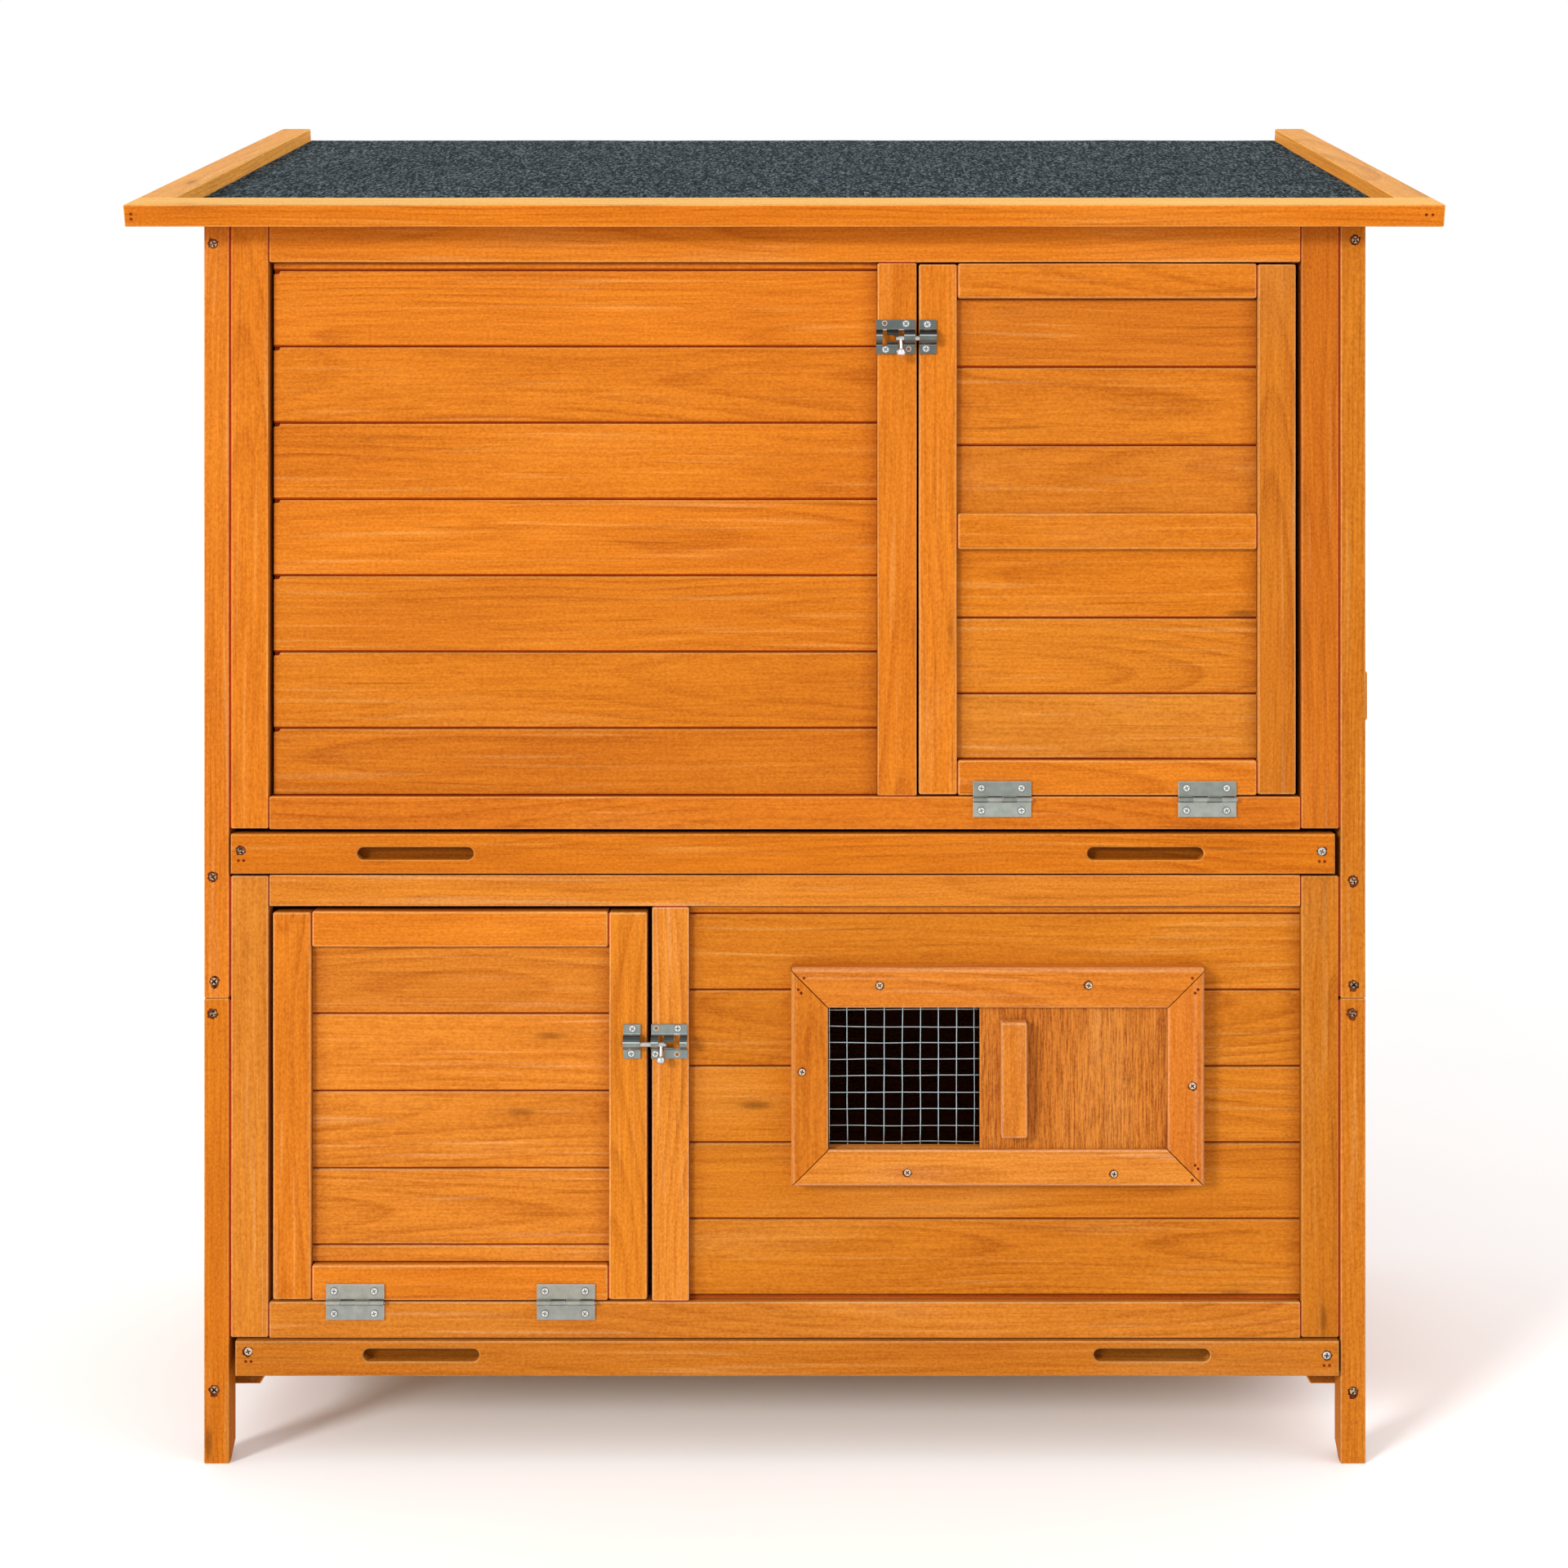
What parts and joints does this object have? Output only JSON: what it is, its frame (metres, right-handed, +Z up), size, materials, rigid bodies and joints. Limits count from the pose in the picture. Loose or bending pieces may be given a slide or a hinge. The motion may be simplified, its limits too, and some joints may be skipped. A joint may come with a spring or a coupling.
{
  "type": "rabbit hutch",
  "caption": "Two-storey timber rabbit hutch with a felted lean-to roof, drop-down doors on barrel bolts, pull-out trays and a meshed window with a sliding shutter.",
  "frame": {"origin": "on the floor, under the middle of the whole object's box", "axes": "+Z up, the front with the doors and window faces -Y, +X to the right seen from the front"},
  "size_m": [0.92, 0.454, 1.0063],
  "materials": {
    "stained_timber": "orange-brown stained softwood, satin, fine grain with small knots",
    "plywood": "thin red-brown plywood with a short open grain",
    "roof_felt": "slate-grey mineral roofing felt, matt and grainy",
    "zinc_plate": "bright zinc-plated pressed steel",
    "wire_mesh": "galvanised welded wire"
  },
  "bodies": {
    "cabinet": {"front_left_post": "stained_timber", "front_right_post": "stained_timber", "front_left_leg": "stained_timber", "front_right_leg": "stained_timber", "rear_left_post": "stained_timber", "rear_right_post": "stained_timber", "left_side_panel": "stained_timber", "right_side_panel": "stained_timber", "back_panel": "stained_timber", "left_side_handle": "stained_timber", "right_side_handle": "stained_timber", "upper_left_stile": "stained_timber", "upper_right_stile": "stained_timber", "upper_top_rail": "stained_timber", "upper_bottom_rail": "stained_timber", "upper_mullion": "stained_timber", "upper_cladding": "stained_timber", "lower_left_stile": "stained_timber", "lower_right_stile": "stained_timber", "lower_top_rail": "stained_timber", "lower_bottom_rail": "stained_timber", "lower_mullion": "stained_timber", "lower_cladding": "stained_timber", "window_frame": "stained_timber", "window_mesh": "wire_mesh", "upper_bolt_plate": "zinc_plate", "lower_bolt_plate": "zinc_plate", "upper_left_hinge_fixed_leaf": "zinc_plate", "upper_right_hinge_fixed_leaf": "zinc_plate", "lower_left_hinge_fixed_leaf": "zinc_plate", "lower_right_hinge_fixed_leaf": "zinc_plate"},
    "upper_door": {"upper_door_left_stile": "stained_timber", "upper_door_right_stile": "stained_timber", "upper_door_top_rail": "stained_timber", "upper_door_mid_rail": "stained_timber", "upper_door_bottom_rail": "stained_timber", "upper_door_cladding": "stained_timber", "upper_keeper": "zinc_plate", "upper_left_hinge_door_leaf": "zinc_plate", "upper_right_hinge_door_leaf": "zinc_plate"},
    "lower_door": {"lower_door_left_stile": "stained_timber", "lower_door_right_stile": "stained_timber", "lower_door_top_rail": "stained_timber", "lower_door_bottom_rail": "stained_timber", "lower_door_cladding": "stained_timber", "lower_keeper": "zinc_plate", "lower_left_hinge_door_leaf": "zinc_plate", "lower_right_hinge_door_leaf": "zinc_plate"},
    "upper_bolt_rod": {"upper_bolt": "zinc_plate"},
    "lower_bolt_rod": {"lower_bolt": "zinc_plate"},
    "shutter": {"window_shutter": "plywood"},
    "upper_pullout": {"upper_tray_front": "stained_timber", "upper_tray": "plywood"},
    "lower_pullout": {"lower_tray_front": "stained_timber", "lower_tray": "plywood"},
    "lid": {"roof_deck": "plywood", "roof_felt": "roof_felt", "roof_fascia": "stained_timber", "roof_left_trim": "stained_timber", "roof_right_trim": "stained_timber"}
  },
  "joints": [
    {"name": "upper_door_hinge", "type": "hinge", "parent": "cabinet", "child": "upper_door", "pos_m": [0.2276, -0.2075, 0.469], "axis": [1, 0, 0], "range_deg": [0, 165]},
    {"name": "lower_door_hinge", "type": "hinge", "parent": "cabinet", "child": "lower_door", "pos_m": [-0.2292, -0.2075, 0.1145], "axis": [1, 0, 0], "range_deg": [0, 110]},
    {"name": "upper_bolt_slide", "type": "slide", "parent": "cabinet", "child": "upper_bolt_rod", "axis": [-1, 0, 0], "range_m": [0, 0.011]},
    {"name": "lower_bolt_slide", "type": "slide", "parent": "cabinet", "child": "lower_bolt_rod", "axis": [1, 0, 0], "range_m": [0, 0.011]},
    {"name": "shutter_slide", "type": "slide", "parent": "cabinet", "child": "shutter", "axis": [-1, 0, 0], "range_m": [0, 0.108]},
    {"name": "upper_tray_slide", "type": "slide", "parent": "cabinet", "child": "upper_pullout", "axis": [0, 1, 0], "range_m": [-0.3, 0]},
    {"name": "lower_tray_slide", "type": "slide", "parent": "cabinet", "child": "lower_pullout", "axis": [0, 1, 0], "range_m": [-0.3, 0]},
    {"name": "roof_hinge", "type": "hinge", "parent": "cabinet", "child": "lid", "pos_m": [0, 0.208, 0.9832], "axis": [-1, 0, 0], "range_deg": [0, 100]}
  ]
}
